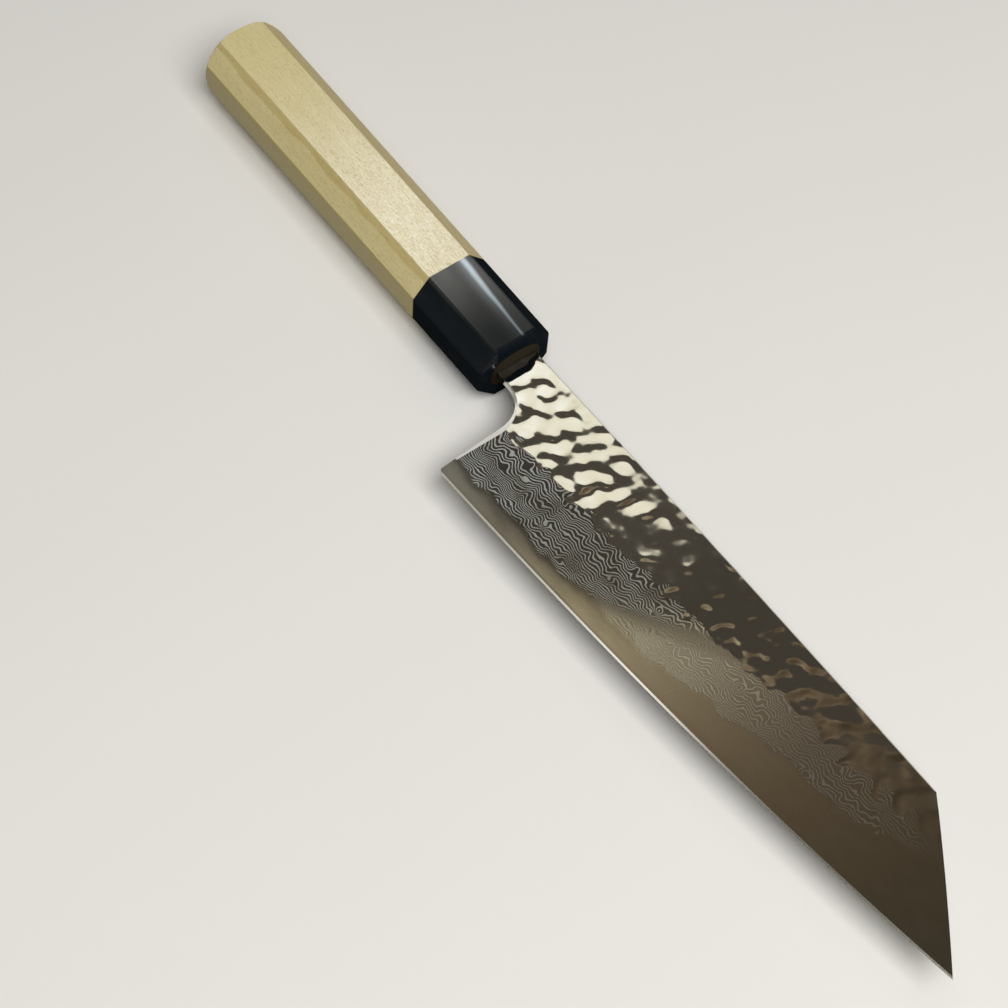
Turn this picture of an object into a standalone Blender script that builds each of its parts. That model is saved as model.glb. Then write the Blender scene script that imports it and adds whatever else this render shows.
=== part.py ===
"""Bunka kitchen knife: a laminated blade, a horn ferrule and an octagonal wooden grip.

The knife lies on its side. X runs from the butt to the tip, Y from the cutting edge to the spine
and Z is up. Each piece is modelled about the handle's axis, with X = 0 at the ferrule's front
face, and the whole knife is then set on the ground under the middle of its box. Sizes are metres.
"""

import math

import bmesh
import bpy
from mathutils import Euler, Vector

MM = 0.001

# Blade outline, from the ferrule's front face and the handle's axis
NECK_TOP = 6.55 * MM
NECK_BOTTOM = 6.1 * MM
HEEL_X = 16.3 * MM
HEEL_DROP = 36.85 * MM
HEEL_CHAMFER = 1.0 * MM
CHOIL_LEAN = 0.9 * MM
CHOIL_RADIUS = 9.8 * MM
EDGE_LENGTH = 180.0 * MM
TIP_DROP = 21.0 * MM
EDGE_BELLY = 2.6 * MM
EDGE_BELLY_SKEW = 0.15
CLIP_RUN = 37.3 * MM
CLIP_CORNER_HEIGHT = 7.9 * MM
CLIP_CROWN = 0.3 * MM
SPINE_CROWN = 0.42 * MM

# Blade thickness, from the cutting edge up to the spine
NECK_THICKNESS = 2.1 * MM
TIP_THICKNESS = 1.2 * MM
BEVEL_HEIGHT = 0.8 * MM
BEVEL_THICKNESS = 0.40 * MM
GRIND_HEIGHT = 22.0 * MM
GRIND_FULLNESS = 0.7

# Lamination: the core steel shows in a band over the edge, which the cladding leaves bare
CORE_THICKNESS = 0.56 * MM
WELD_GAP = 0.05 * MM
# Height of the band over the edge, at shares of the way from the heel to the tip
BAND_HEIGHTS = (
    (0.0, 5.2 * MM),
    (0.24, 5.0 * MM),
    (0.44, 6.0 * MM),
    (0.59, 11.0 * MM),
    (0.79, 13.0 * MM),
    (0.87, 20.6 * MM),
)
# Size and length of the waves in the band's upper limit
BAND_WAVES = ((0.5 * MM, 31.0 * MM), (0.35 * MM, 13.0 * MM))

# Tang inside the handle
TANG_LENGTH = 94.0 * MM
TANG_END_HEIGHT = 5.0 * MM
TANG_END_THICKNESS = 1.5 * MM

# Handle, an octagon that widens from the ferrule's front to the butt
HANDLE_LENGTH = 134.0 * MM
FERRULE_LENGTH = 30.6 * MM
FRONT_HEIGHT = 23.4 * MM
FRONT_THICKNESS = 20.0 * MM
FRONT_BROAD_FLAT = 12.9 * MM
FRONT_NARROW_FLAT = 8.4 * MM
BUTT_HEIGHT = 25.4 * MM
BUTT_THICKNESS = 21.8 * MM
BUTT_BROAD_FLAT = 14.3 * MM
BUTT_NARROW_FLAT = 8.6 * MM
FERRULE_ROUNDING = 1.6 * MM
BUTT_ROUNDING = 3.5 * MM
BUTT_ROUNDING_RADIUS = 13.4 * MM
BUTT_CROWN = 0.6 * MM

# Dowel that joins ferrule and grip, and the resin round the tang
DOWEL_HEIGHT = 16.3 * MM
DOWEL_THICKNESS = 11.8 * MM
DOWEL_SQUARENESS = 2.5
GLUE_LINE = 0.1 * MM
BEDDING_WALL = 0.35 * MM
BEDDING_END = 2.0 * MM
DOWEL_END = 3.8 * MM

# Smoothness of the curved stretches
ARC_STEPS = 12
CROWN_STEPS = 12
OVAL_STEPS = 48
TURN_STEPS = 48
STATION_STEP = 3.0 * MM
ROUNDING_STEPS = 3

# How far a cutter reaches past what it cuts
CUT_MARGIN = 8.0 * MM

MERGE_DISTANCE = 0.001 * MM

TIP_X = HEEL_X + EDGE_LENGTH
NECK_HEIGHT = NECK_TOP + NECK_BOTTOM
NECK_MIDDLE = (NECK_TOP - NECK_BOTTOM) / 2
SLOT_CLEARANCE = GLUE_LINE + BEDDING_WALL + GLUE_LINE
SLOT_DEPTH = TANG_LENGTH + GLUE_LINE + BEDDING_END + GLUE_LINE
DOWEL_LENGTH = SLOT_DEPTH + DOWEL_END

QUARTER_TURN = math.pi / 2
# Turns a solid that is extruded along Z so that it runs along X, with its X along Y
ALONG_X = Euler((QUARTER_TURN, 0.0, QUARTER_TURN))
# Turns a solid of revolution so that its top points to the butt
TOWARDS_BUTT = Euler((0.0, -QUARTER_TURN, 0.0))


def mix(start, end, share):
    """The value that lies a share of the way from start to end."""
    return start + (end - start) * share


def clear_scene():
    for obj in list(bpy.data.objects):
        bpy.data.objects.remove(obj, do_unlink=True)


def new_collection(name):
    collection = bpy.data.collections.new(name)
    bpy.context.scene.collection.children.link(collection)
    return collection


def new_material(name, colour, roughness, metallic=0.0):
    material = bpy.data.materials.new(name)
    material.use_nodes = True
    material.diffuse_color = (*colour, 1.0)
    shader = material.node_tree.nodes["Principled BSDF"]
    shader.inputs["Base Color"].default_value = (*colour, 1.0)
    shader.inputs["Roughness"].default_value = roughness
    shader.inputs["Metallic"].default_value = metallic
    return material


def new_object(name, mesh, collection, material=None):
    obj = bpy.data.objects.new(name, mesh)
    collection.objects.link(obj)
    if material:
        mesh.materials.append(material)
    return obj


def new_cutter(name, mesh):
    """A helper that shapes other pieces and isn't one itself."""
    cutter = new_object(name, mesh, cutters)
    cutter.hide_render = True
    cutter.display_type = "WIRE"
    return cutter


def to_mesh(name, bm):
    mesh = bpy.data.meshes.new(name)
    bm.to_mesh(mesh)
    bm.free()
    return mesh


def use_boolean(obj, cutter, operation):
    modifier = obj.modifiers.new(cutter.name, "BOOLEAN")
    modifier.operation = operation
    modifier.object = cutter
    modifier.solver = "EXACT"


def extruded(name, outline, depth):
    """A flat outline in the XY plane, made a solid of this depth about Z = 0."""
    curve = bpy.data.curves.new(name, "CURVE")
    curve.dimensions = "2D"
    curve.fill_mode = "BOTH"
    curve.extrude = depth / 2
    spline = curve.splines.new("POLY")
    spline.points.add(len(outline) - 1)
    for point, (x, y) in zip(spline.points, outline):
        point.co = (x, y, 0.0, 1.0)
    spline.use_cyclic_u = True
    guide = bpy.data.objects.new(name + "_curve", curve)
    cutters.objects.link(guide)
    mesh = bpy.data.meshes.new_from_object(guide.evaluated_get(bpy.context.evaluated_depsgraph_get()))
    mesh.name = name
    bpy.data.objects.remove(guide, do_unlink=True)
    bm = bmesh.new()
    bm.from_mesh(mesh)
    bmesh.ops.remove_doubles(bm, verts=bm.verts, dist=MERGE_DISTANCE)
    bmesh.ops.recalc_face_normals(bm, faces=bm.faces)
    bm.to_mesh(mesh)
    bm.free()
    return mesh


def lofted(rings):
    """A closed skin through rings that hold equally many points, capped at both ends."""
    bm = bmesh.new()
    loops = [[bm.verts.new(point) for point in ring] for ring in rings]
    for near, far in zip(loops, loops[1:]):
        for index in range(len(near)):
            after = (index + 1) % len(near)
            bm.faces.new((near[index], near[after], far[after], far[index]))
    bm.faces.new(loops[0])
    bm.faces.new(loops[-1])
    bmesh.ops.recalc_face_normals(bm, faces=bm.faces)
    return bm


def crowned_line(start, end, crown):
    """Points from start to end, without end, that bulge to the right of the way by the crown."""
    start, end = Vector(start), Vector(end)
    along = end - start
    outwards = Vector((along.y, -along.x)).normalized()
    shares = [step / CROWN_STEPS for step in range(CROWN_STEPS)]
    return [start + along * share + outwards * crown * 4 * share * (1 - share) for share in shares]


def edge_y(x):
    """Height of the cutting edge at x: a straight line from heel to tip with a belly under it."""
    share = (x - HEEL_X) / EDGE_LENGTH
    belly = 4 * EDGE_BELLY * share * (1 - share) * (1 + EDGE_BELLY_SKEW * (2 * share - 1))
    return -mix(HEEL_DROP, TIP_DROP, share) - belly


def blade_outline():
    """Outline of tang, neck and blade. Below the edge it runs outside, where the grind ends."""
    heel = Vector((HEEL_X, edge_y(HEEL_X)))
    tip = Vector((TIP_X, edge_y(TIP_X)))
    clip_corner = Vector((TIP_X - CLIP_RUN, CLIP_CORNER_HEIGHT))
    choil_foot = heel + Vector((-HEEL_CHAMFER, HEEL_CHAMFER))
    centre = Vector((choil_foot.x - CHOIL_LEAN - CHOIL_RADIUS, -NECK_BOTTOM - CHOIL_RADIUS))
    turns = [QUARTER_TURN * (1 - step / ARC_STEPS) for step in range(ARC_STEPS + 1)]
    choil = [centre + CHOIL_RADIUS * Vector((math.cos(turn), math.sin(turn))) for turn in turns]
    past_tip = tip + (tip - clip_corner).normalized() * CUT_MARGIN
    half_end = TANG_END_HEIGHT / 2
    return [
        Vector((-TANG_LENGTH, NECK_MIDDLE - half_end)),
        Vector((0.0, -NECK_BOTTOM)),
        *choil,
        choil_foot,
        heel + Vector((CUT_MARGIN, -CUT_MARGIN)),
        past_tip,
        *crowned_line(tip, clip_corner, CLIP_CROWN),
        *crowned_line(clip_corner, (0.0, NECK_TOP), SPINE_CROWN),
        Vector((0.0, NECK_TOP)),
        Vector((-TANG_LENGTH, NECK_MIDDLE + half_end)),
    ]


def flat_half(x):
    """Half the blade's thickness above the grind, which thins towards the tip and the tang's end."""
    if x < 0:
        return mix(NECK_THICKNESS, TANG_END_THICKNESS, -x / TANG_LENGTH) / 2
    return mix(NECK_THICKNESS, TIP_THICKNESS, x / TIP_X) / 2


def ground_half(x, height):
    """Half the blade's thickness at a height over the edge, from the bevel to the grind's top."""
    share = (height - BEVEL_HEIGHT) / (GRIND_HEIGHT - BEVEL_HEIGHT)
    return mix(BEVEL_THICKNESS / 2, flat_half(x), share**GRIND_FULLNESS)


def band_height(x):
    """Height over the edge at which the cladding ends, straight between the given heights."""
    share = (x - HEEL_X) / EDGE_LENGTH
    waves = sum(size * math.sin(math.tau * x / length) for size, length in BAND_WAVES)
    for (start, low), (end, high) in zip(BAND_HEIGHTS, BAND_HEIGHTS[1:]):
        if share < end:
            return mix(low, high, max(0.0, (share - start) / (end - start))) + waves
    return BAND_HEIGHTS[-1][1] + waves


def stations():
    """Places along X where the blade's section is given, from behind the tang to past the tip."""
    end = TIP_X + CUT_MARGIN
    count = math.ceil(end / STATION_STEP)
    return [-TANG_LENGTH - CUT_MARGIN, *(end * step / count for step in range(count + 1))]


def core_section(x):
    edge = edge_y(x)
    band = band_height(x)
    top = CLIP_CORNER_HEIGHT + CUT_MARGIN
    right_side = [
        (edge + BEVEL_HEIGHT, BEVEL_THICKNESS / 2),
        (edge + band, ground_half(x, band)),
        (edge + band, CORE_THICKNESS / 2),
        (top, CORE_THICKNESS / 2),
    ]
    left_side = [(y, -z) for y, z in reversed(right_side)]
    return [(x, y, z) for y, z in [(edge, 0.0), *right_side, *left_side]]


def cladding_section(x, side):
    """Section of the cladding on one side: 1 is the right side, which faces up, and -1 the left."""
    edge = edge_y(x)
    rim = band_height(x) + WELD_GAP
    inner = CORE_THICKNESS / 2 + WELD_GAP
    top = CLIP_CORNER_HEIGHT + CUT_MARGIN
    points = [
        (edge + rim, inner),
        (edge + rim, ground_half(x, rim)),
        (edge + GRIND_HEIGHT, flat_half(x)),
        (top, flat_half(x)),
        (top, inner),
    ]
    return [(x, y, side * z) for y, z in points]


def blade_piece(name, sections, outline, material):
    """A piece of the blade: a skin through its sections, cut to the blade's outline."""
    piece = new_object(name, to_mesh(name, lofted(sections)), knife, material)
    use_boolean(piece, outline, "INTERSECT")
    return piece


def make_blade(steel, clad_steel):
    outline = new_cutter("blade_outline", extruded("blade_outline", blade_outline(), CUT_MARGIN))
    core = [core_section(x) for x in stations()]
    right = [cladding_section(x, 1) for x in stations()]
    left = [cladding_section(x, -1) for x in stations()]
    return [
        blade_piece("blade_core", core, outline, steel),
        blade_piece("cladding_right", right, outline, clad_steel),
        blade_piece("cladding_left", left, outline, clad_steel),
    ]


def octagon(x):
    """The handle's section at x, with its broad flats above and below."""
    share = -x / HANDLE_LENGTH
    height = mix(FRONT_HEIGHT, BUTT_HEIGHT, share) / 2
    thickness = mix(FRONT_THICKNESS, BUTT_THICKNESS, share) / 2
    broad = mix(FRONT_BROAD_FLAT, BUTT_BROAD_FLAT, share) / 2
    narrow = mix(FRONT_NARROW_FLAT, BUTT_NARROW_FLAT, share) / 2
    quarter = [(height, narrow), (broad, thickness)]
    half = quarter + [(-y, z) for y, z in reversed(quarter)]
    return [(x, y, z) for y, z in half + [(-y, -z) for y, z in half]]


def oval(height, thickness):
    """A squarish oval outline, height along X and thickness along Y."""
    power = 2 / DOWEL_SQUARENESS
    turns = [math.tau * step / OVAL_STEPS for step in range(OVAL_STEPS)]

    def along(size, value):
        return size / 2 * math.copysign(abs(value) ** power, value)

    return [(along(height, math.cos(turn)), along(thickness, math.sin(turn))) for turn in turns]


def oval_rod(name, clearance, start, end):
    """Mesh of a rod with the dowel's section and a clearance round it, between two depths."""
    outline = oval(DOWEL_HEIGHT + 2 * clearance, DOWEL_THICKNESS + 2 * clearance)
    mesh = extruded(name, outline, end - start)
    mesh.transform(ALONG_X.to_matrix().to_4x4())
    for vertex in mesh.vertices:
        vertex.co.x -= (start + end) / 2
    return mesh


def butt_form():
    """A turned body whose crowned end and rounded rim the grip's butt takes over."""
    outer = BUTT_ROUNDING_RADIUS
    crown_radius = outer - BUTT_ROUNDING
    shoulder = HANDLE_LENGTH - BUTT_CROWN
    shares = [step / ARC_STEPS for step in range(ARC_STEPS + 1)]
    crown = [(crown_radius * share, shoulder + BUTT_CROWN * (1 - share**2)) for share in shares]
    rim = [
        (
            crown_radius + BUTT_ROUNDING * math.sin(QUARTER_TURN * share),
            shoulder - BUTT_ROUNDING * (1 - math.cos(QUARTER_TURN * share)),
        )
        for share in shares[1:]
    ]
    profile = [*crown, *rim, (outer + CUT_MARGIN, rim[-1][1]), (outer + CUT_MARGIN, 0.0), (0.0, 0.0)]
    bm = bmesh.new()
    vertices = [bm.verts.new((radius, 0.0, height)) for radius, height in profile]
    for first, second in zip(vertices, vertices[1:]):
        bm.edges.new((first, second))
    form = new_cutter("butt_form", to_mesh("butt_form", bm))
    form.rotation_euler = TOWARDS_BUTT
    turn = form.modifiers.new("turn", "SCREW")
    turn.steps = TURN_STEPS
    turn.render_steps = TURN_STEPS
    turn.use_merge_vertices = True
    turn.merge_threshold = MERGE_DISTANCE
    return form


def make_grip(wood):
    front = -FERRULE_LENGTH - GLUE_LINE
    back = -HANDLE_LENGTH - CUT_MARGIN
    grip = new_object("grip", to_mesh("grip", lofted([octagon(front), octagon(back)])), knife, wood)
    use_boolean(grip, butt_form(), "INTERSECT")
    bore_mesh = oval_rod("grip_bore", GLUE_LINE, FERRULE_LENGTH - CUT_MARGIN, DOWEL_LENGTH + GLUE_LINE)
    use_boolean(grip, new_cutter("grip_bore", bore_mesh), "DIFFERENCE")
    return grip


def make_ferrule(horn):
    bm = lofted([octagon(0.0), octagon(-FERRULE_LENGTH)])
    front_edges = [edge for edge in bm.edges if all(vertex.co.x == 0.0 for vertex in edge.verts)]
    bmesh.ops.bevel(
        bm,
        geom=front_edges,
        offset=FERRULE_ROUNDING,
        offset_type="OFFSET",
        segments=ROUNDING_STEPS,
        profile=0.5,
        affect="EDGES",
        material=-1,
    )
    ferrule = new_object("ferrule", to_mesh("ferrule", bm), knife, horn)
    bore_mesh = oval_rod("ferrule_bore", GLUE_LINE, -CUT_MARGIN, FERRULE_LENGTH + CUT_MARGIN)
    use_boolean(ferrule, new_cutter("ferrule_bore", bore_mesh), "DIFFERENCE")
    return ferrule


def tang_envelope(clearance, front):
    """Rings of the tapered space that the tang takes, with a clearance, up to x = front."""

    def ring(x):
        share = -x / TANG_LENGTH
        half_height = mix(NECK_HEIGHT, TANG_END_HEIGHT, share) / 2 + clearance
        half_thickness = mix(NECK_THICKNESS, TANG_END_THICKNESS, share) / 2 + clearance
        corners = ((1, 1), (-1, 1), (-1, -1), (1, -1))
        return [(x, NECK_MIDDLE + y * half_height, z * half_thickness) for y, z in corners]

    return [ring(front), ring(-TANG_LENGTH - clearance)]


def slot_block(name, clearance, front):
    """Mesh of the slot's block, smaller all round by a clearance, from x = front to its floor."""
    height = NECK_HEIGHT + 2 * (SLOT_CLEARANCE - clearance)
    thickness = NECK_THICKNESS + 2 * (SLOT_CLEARANCE - clearance)
    floor = -SLOT_DEPTH + clearance
    bm = bmesh.new()
    bmesh.ops.create_cube(bm, size=1.0)
    bmesh.ops.scale(bm, vec=(front - floor, height, thickness), verts=bm.verts)
    bmesh.ops.translate(bm, vec=((front + floor) / 2, NECK_MIDDLE, 0.0), verts=bm.verts)
    return to_mesh(name, bm)


def make_dowel(wood):
    dowel = new_object("dowel", oval_rod("dowel", 0.0, 0.0, DOWEL_LENGTH), knife, wood)
    use_boolean(dowel, new_cutter("tang_slot", slot_block("tang_slot", 0.0, CUT_MARGIN)), "DIFFERENCE")
    return dowel


def make_bedding(resin):
    bedding = new_object("tang_bedding", slot_block("tang_bedding", GLUE_LINE, 0.0), knife, resin)
    space = to_mesh("tang_space", lofted(tang_envelope(GLUE_LINE, CUT_MARGIN)))
    use_boolean(bedding, new_cutter("tang_space", space), "DIFFERENCE")
    return bedding


def set_on_ground(pieces):
    """Hang pieces and cutters on an empty that puts the middle of the pieces' box over the origin."""
    bpy.context.view_layer.update()
    graph = bpy.context.evaluated_depsgraph_get()
    corners = [Vector(c) for piece in pieces for c in piece.evaluated_get(graph).bound_box]
    low, high = (Vector(limit(c[axis] for c in corners) for axis in range(3)) for limit in (min, max))
    holder = bpy.data.objects.new("handle_axis", None)
    knife.objects.link(holder)
    holder.location = (-(low.x + high.x) / 2, -(low.y + high.y) / 2, -low.z)
    for obj in [*pieces, *cutters.objects]:
        obj.parent = holder


clear_scene()
knife = new_collection("bunka_knife")
cutters = new_collection("cutters")
core_steel = new_material("core_steel", (0.60, 0.59, 0.55), 0.35, 1.0)
clad_steel = new_material("clad_steel", (0.44, 0.42, 0.39), 0.30, 1.0)
magnolia = new_material("magnolia_wood", (0.72, 0.62, 0.36), 0.55)
black_horn = new_material("black_horn", (0.012, 0.013, 0.015), 0.20)
brown_wood = new_material("brown_wood", (0.16, 0.10, 0.04), 0.60)
dark_resin = new_material("dark_resin", (0.05, 0.035, 0.02), 0.45)
set_on_ground(
    [
        *make_blade(core_steel, clad_steel),
        make_ferrule(black_horn),
        make_grip(magnolia),
        make_dowel(brown_wood),
        make_bedding(dark_resin),
    ]
)
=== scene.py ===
"""Looks of a bunka kitchen knife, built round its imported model.

Sizes are metres. Each piece is modelled about the handle's axis: X = 0 is the ferrule's front face,
X runs to the tip, Y to the spine and Z out of the blade's right face. It is then moved to where the
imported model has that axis. Patterns measure in millimetres from the same point.
"""

import logging
import math
import random
from abc import ABC, abstractmethod
from dataclasses import dataclass, field
from enum import Enum
from itertools import pairwise
from typing import Protocol, Sequence, Union

import bmesh
import bpy
import numpy as np
from mathutils import Matrix, Vector

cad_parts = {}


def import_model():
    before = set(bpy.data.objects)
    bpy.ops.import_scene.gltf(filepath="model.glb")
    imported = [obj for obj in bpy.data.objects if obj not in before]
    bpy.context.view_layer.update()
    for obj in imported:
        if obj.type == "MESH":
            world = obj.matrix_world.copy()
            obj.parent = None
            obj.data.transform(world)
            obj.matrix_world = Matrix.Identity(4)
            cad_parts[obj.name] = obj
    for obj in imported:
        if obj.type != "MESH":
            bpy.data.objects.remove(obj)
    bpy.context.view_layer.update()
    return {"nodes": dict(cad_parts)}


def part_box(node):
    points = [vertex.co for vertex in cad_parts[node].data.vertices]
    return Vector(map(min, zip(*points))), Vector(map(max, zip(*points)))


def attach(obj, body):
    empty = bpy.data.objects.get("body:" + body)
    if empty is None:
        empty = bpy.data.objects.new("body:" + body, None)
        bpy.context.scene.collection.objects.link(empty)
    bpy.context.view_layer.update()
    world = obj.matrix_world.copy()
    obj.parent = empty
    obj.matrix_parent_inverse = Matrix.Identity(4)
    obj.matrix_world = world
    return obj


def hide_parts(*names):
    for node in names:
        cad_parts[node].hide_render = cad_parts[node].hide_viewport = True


LOG = logging.getLogger("knife")
MM = 0.001
BODY = "root"
SHARP_ANGLE = math.radians(28)
MERGE_DISTANCE = 0.001 * MM
BUMP_STRENGTH = 0.5
QUARTER_TURN = math.radians(90)
BAND_SLACK = 0.01 * MM
# A slope off the upright that is so large that it bounds nothing
UNBOUNDED = 9.0

Colour = tuple[float, float, float]
Number = Union[float, np.ndarray]
# Where a soft step gives 0 and where it gives 1, or the values that a share of 0 and of 1 stand for
Span = tuple[float, float]
# Places, each with the value there, and straight lines between
Curve = tuple[tuple[float, float], ...]


class Side(Enum):
    """A face of the blade: the right one lies up, the left one down."""

    RIGHT = 1
    LEFT = -1


class Axis(Enum):
    """A direction in which a sheet is cut into cells."""

    X = 0
    Y = 1


class Cut(Enum):
    """What a cutter leaves of a solid: the part inside the cutter or the part outside."""

    INSIDE = "INTERSECT"
    OUTSIDE = "DIFFERENCE"


# Shader building


@dataclass(frozen=True)
class Wire:
    """An output socket with the arithmetic that a pattern needs."""

    shader: "Shader"
    socket: bpy.types.NodeSocket

    def __add__(self, other: "Wire | float") -> "Wire":
        """The sum of two values."""
        return self.shader.math("ADD", self, other)

    def __sub__(self, other: "Wire | float") -> "Wire":
        """This value less another."""
        return self.shader.math("SUBTRACT", self, other)

    def __mul__(self, other: "Wire | float") -> "Wire":
        """The product of two values."""
        return self.shader.math("MULTIPLY", self, other)

    def __truediv__(self, other: "Wire | float") -> "Wire":
        """This value divided by another."""
        return self.shader.math("DIVIDE", self, other)

    def __radd__(self, other: float) -> "Wire":
        """A number plus this value."""
        return self.shader.math("ADD", other, self)

    def __rsub__(self, other: float) -> "Wire":
        """A number less this value."""
        return self.shader.math("SUBTRACT", other, self)

    def __rmul__(self, other: float) -> "Wire":
        """A number times this value."""
        return self.shader.math("MULTIPLY", other, self)

    def __abs__(self) -> "Wire":
        """This value without its sign."""
        return self.shader.math("ABSOLUTE", self)

    def sine(self) -> "Wire":
        """The sine of this value in radians."""
        return self.shader.math("SINE", self)

    def ramp(self, low: float, high: float) -> "Wire":
        """A soft step of this value.

        Args:
            low: Value at which the step starts, where it gives 0.
            high: Value at which it ends, where it gives 1. It may be the smaller of the two.

        Returns:
            The step's value.
        """
        start, end, flip = (low, high, False) if low < high else (high, low, True)
        step = self.shader.node(
            "ShaderNodeMapRange",
            {"interpolation_type": "SMOOTHSTEP"},
            {"Value": self, "From Min": start, "From Max": end},
            "Result",
        )
        return 1.0 - step if flip else step

    def between(self, first: "Wire | float", second: "Wire | float") -> "Wire":
        """The value that lies this share of the way from the first to the second."""
        return first + self * (second - first)

    def split(self) -> tuple["Wire", "Wire", "Wire"]:
        """The three parts of this vector."""
        parts = self.shader.node("ShaderNodeSeparateXYZ", {}, {0: self}).socket.node.outputs
        return tuple(Wire(self.shader, part) for part in parts)

    def stretched(self, lengths: tuple[float, float, float]) -> "Wire":
        """This vector in units of these lengths."""
        return self.shader.vector("DIVIDE", self, lengths)


class Shader:
    """Builds the nodes of one material or world."""

    def __init__(self, tree: bpy.types.NodeTree) -> None:
        """Start with the tree that takes the nodes."""
        self.tree = tree

    def node(
        self,
        kind: str,
        settings: dict[str, object] | None = None,
        inputs: dict[str | int, object] | None = None,
        output: str | int = 0,
    ) -> Wire:
        """Add a node.

        Args:
            kind: The node's type name.
            settings: Properties that are set first. "stops" holds a ramp's places and colours.
            inputs: Values or wires of its sockets, by name or place.
            output: The socket that is handed back.

        Returns:
            A wire on that output.
        """
        node = self.tree.nodes.new(kind)
        for name, value in (settings or {}).items():
            if name == "stops":
                self._set_stops(node.color_ramp, value)
            else:
                setattr(node, name, value)
        for name, value in (inputs or {}).items():
            if isinstance(value, Wire):
                self.tree.links.new(value.socket, node.inputs[name])
            else:
                node.inputs[name].default_value = value
        return Wire(self, node.outputs[output])

    @staticmethod
    def _set_stops(ramp: bpy.types.ColorRamp, stops: Sequence[tuple[float, Colour]]) -> None:
        """Give a colour ramp its stops.

        Args:
            ramp: The ramp, which has two stops of its own.
            stops: Places from 0 to 1, each with a colour.
        """
        while len(ramp.elements) < len(stops):
            ramp.elements.new(1.0)
        for element, (place, colour) in zip(ramp.elements, stops):
            element.position = place
            element.color = (*colour, 1.0)

    def math(self, operation: str, *values: "Wire | float") -> Wire:
        """Add a Math node on these values."""
        return self.node("ShaderNodeMath", {"operation": operation}, dict(enumerate(values)))

    def vector(self, operation: str, first: object, second: object) -> Wire:
        """Add a Vector Math node on two vectors."""
        return self.node("ShaderNodeVectorMath", {"operation": operation}, {0: first, 1: second})

    def mix(self, share: Wire, first: "Wire | Colour", second: "Wire | Colour") -> Wire:
        """Mix two colours.

        Args:
            share: 0 for the first colour, 1 for the second.
            first: A colour or a wire that carries one.
            second: A colour or a wire that carries one.

        Returns:
            The mixed colour.
        """
        first, second = ((*c, 1.0) if isinstance(c, tuple) else c for c in (first, second))
        # Inputs 6 and 7 and output 2 are the node's colour sockets.
        return self.node("ShaderNodeMix", {"data_type": "RGBA"}, {0: share, 6: first, 7: second}, 2)

    def place(self, origin: Vector) -> Wire:
        """The point on the piece in millimetres.

        Args:
            origin: Where the point is measured from.

        Returns:
            A wire that carries the point.
        """
        coordinates = self.node("ShaderNodeTexCoord", output="Object")
        moved = self.vector("SUBTRACT", coordinates, tuple(origin))
        return self.vector("MULTIPLY", moved, (1 / MM,) * 3)

    def attribute(self, name: str) -> Wire:
        """A number that the piece's mesh stores on its points."""
        return self.node("ShaderNodeAttribute", {"attribute_name": name}, output="Fac")

    def bump(self, height: Wire, distance: float) -> Wire:
        """A normal that follows a relief whose height 1 stands for this distance in metres."""
        inputs = {"Height": height, "Distance": distance, "Strength": BUMP_STRENGTH}
        return self.node("ShaderNodeBump", {}, inputs)


class Finish(Protocol):
    """What a surface looks like."""

    name: str

    def paint(self, shader: Shader, origin: Vector) -> dict[str, object]:
        """Values or wires of the Principled shader's sockets.

        Args:
            shader: Builds the pattern's nodes.
            origin: Where the handle's axis starts, from which patterns are measured.

        Returns:
            Each socket's value by its name.
        """


def material_of(finish: Finish, origin: Vector) -> bpy.types.Material:
    """Make a finish into a material.

    Args:
        finish: The finish.
        origin: Where the handle's axis starts.

    Returns:
        The new material.
    """
    material = bpy.data.materials.new(finish.name)
    material.use_nodes = True
    shader = Shader(material.node_tree)
    surface = material.node_tree.nodes["Principled BSDF"]
    for name, value in finish.paint(shader, origin).items():
        if isinstance(value, Wire):
            material.node_tree.links.new(value.socket, surface.inputs[name])
        else:
            surface.inputs[name].default_value = value
    return material


# Finishes


@dataclass(frozen=True)
class Grain:
    """Fractal noise with swirls of a set size in millimetres along, across and through the knife."""

    size: tuple[float, float, float]
    detail: float = 1.0
    roughness: float = 0.5

    def on(self, point: Wire) -> Wire:
        """The noise at a point.

        Args:
            point: Place in millimetres.

        Returns:
            A value from about 0 to 1.
        """
        inputs = {
            "Vector": point.stretched(self.size),
            "Scale": 1.0,
            "Detail": self.detail,
            "Roughness": self.roughness,
        }
        return point.shader.node("ShaderNodeTexNoise", {}, inputs, "Fac")

    def about_zero(self, point: Wire) -> Wire:
        """The noise at a point, less its mean."""
        return self.on(point) - 0.5


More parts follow.
